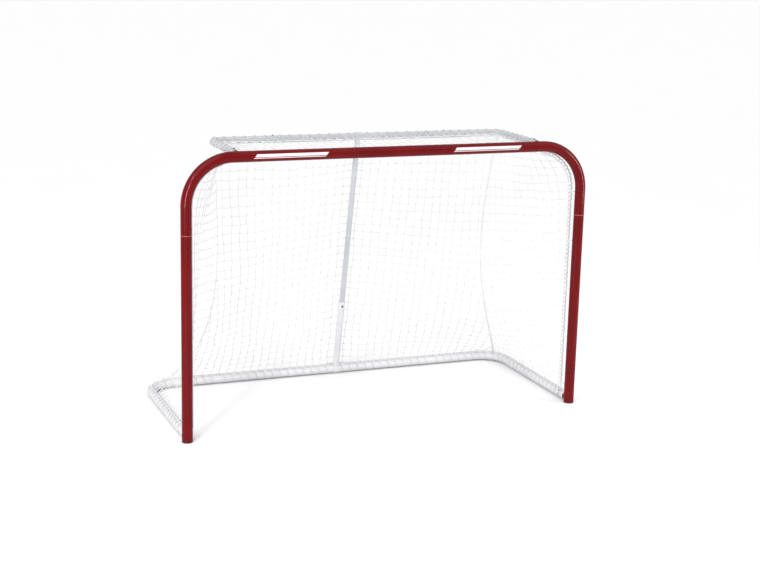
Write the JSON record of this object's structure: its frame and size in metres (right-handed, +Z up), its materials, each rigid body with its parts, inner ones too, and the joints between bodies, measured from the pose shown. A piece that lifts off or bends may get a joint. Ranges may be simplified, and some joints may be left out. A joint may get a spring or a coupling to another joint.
{
  "type": "ice hockey goal",
  "caption": "Ice hockey goal with a bent red tube front frame, a white floor frame, a rear top shelf, a leaning centre support and laced square-mesh netting.",
  "frame": {"origin": "centre of the goal's footprint, on the floor", "axes": "+X along the goal line to the right as seen from the front, +Y from the mouth towards the back of the goal, +Z up"},
  "size_m": [1.9256, 0.8372, 1.2728],
  "materials": {
    "red_paint": "glossy powder coat",
    "white_paint": "satin powder coat",
    "zinc_steel": "zinc plated",
    "dark_fasteners": "dark zinc",
    "black_plastic": "moulded",
    "label_film": "printed vinyl",
    "net_twine": "braided nylon",
    "lacing_cord": "braided nylon"
  },
  "bodies": {
    "goal": {"left_post": "red_paint", "right_post": "red_paint", "crossbar": "red_paint", "left_joint_sleeve": "zinc_steel", "right_joint_sleeve": "zinc_steel", "post_joint_bolts": "dark_fasteners", "left_end_cap": "black_plastic", "right_end_cap": "black_plastic", "left_base_stub": "red_paint", "right_base_stub": "red_paint", "left_shelf_stub": "red_paint", "right_shelf_stub": "red_paint", "left_lace_bar": "white_paint", "right_lace_bar": "white_paint", "top_lace_bar": "white_paint", "left_label": "label_film", "right_label": "label_film", "left_base_rail": "white_paint", "right_base_rail": "white_paint", "rear_base_rail": "white_paint", "base_joint_sleeves": "zinc_steel", "base_stub_bolts": "zinc_steel", "base_stub_nuts": "zinc_steel", "base_joint_screws": "zinc_steel", "left_shelf_rail": "white_paint", "right_shelf_rail": "white_paint", "rear_shelf_rail": "white_paint", "shelf_joint_sleeves": "zinc_steel", "shelf_stub_bolts": "dark_fasteners", "shelf_stub_nuts": "dark_fasteners", "shelf_joint_screws": "dark_fasteners", "support_lower_tube": "white_paint", "support_upper_tube": "white_paint", "support_foot_clamp": "white_paint", "support_top_clamp": "white_paint", "support_screws": "zinc_steel", "button_spring": "zinc_steel", "back_net": "net_twine", "left_side_net": "net_twine", "right_side_net": "net_twine", "top_net": "net_twine", "left_seam_cord": "lacing_cord", "right_seam_cord": "lacing_cord", "base_lacing": "lacing_cord", "shelf_lacing": "lacing_cord", "left_post_lacing": "lacing_cord", "right_post_lacing": "lacing_cord", "crossbar_lacing": "lacing_cord"},
    "button": {"snap_button": "dark_fasteners"}
  },
  "joints": [
    {"name": "button_press", "type": "slide", "parent": "goal", "child": "button", "axis": [0.1173, 0.9511, 0.2856], "range_m": [0, 0.007], "stiffness_N_per_m": 900, "springref_m": -0.002, "deforming": ["button_spring"]}
  ]
}
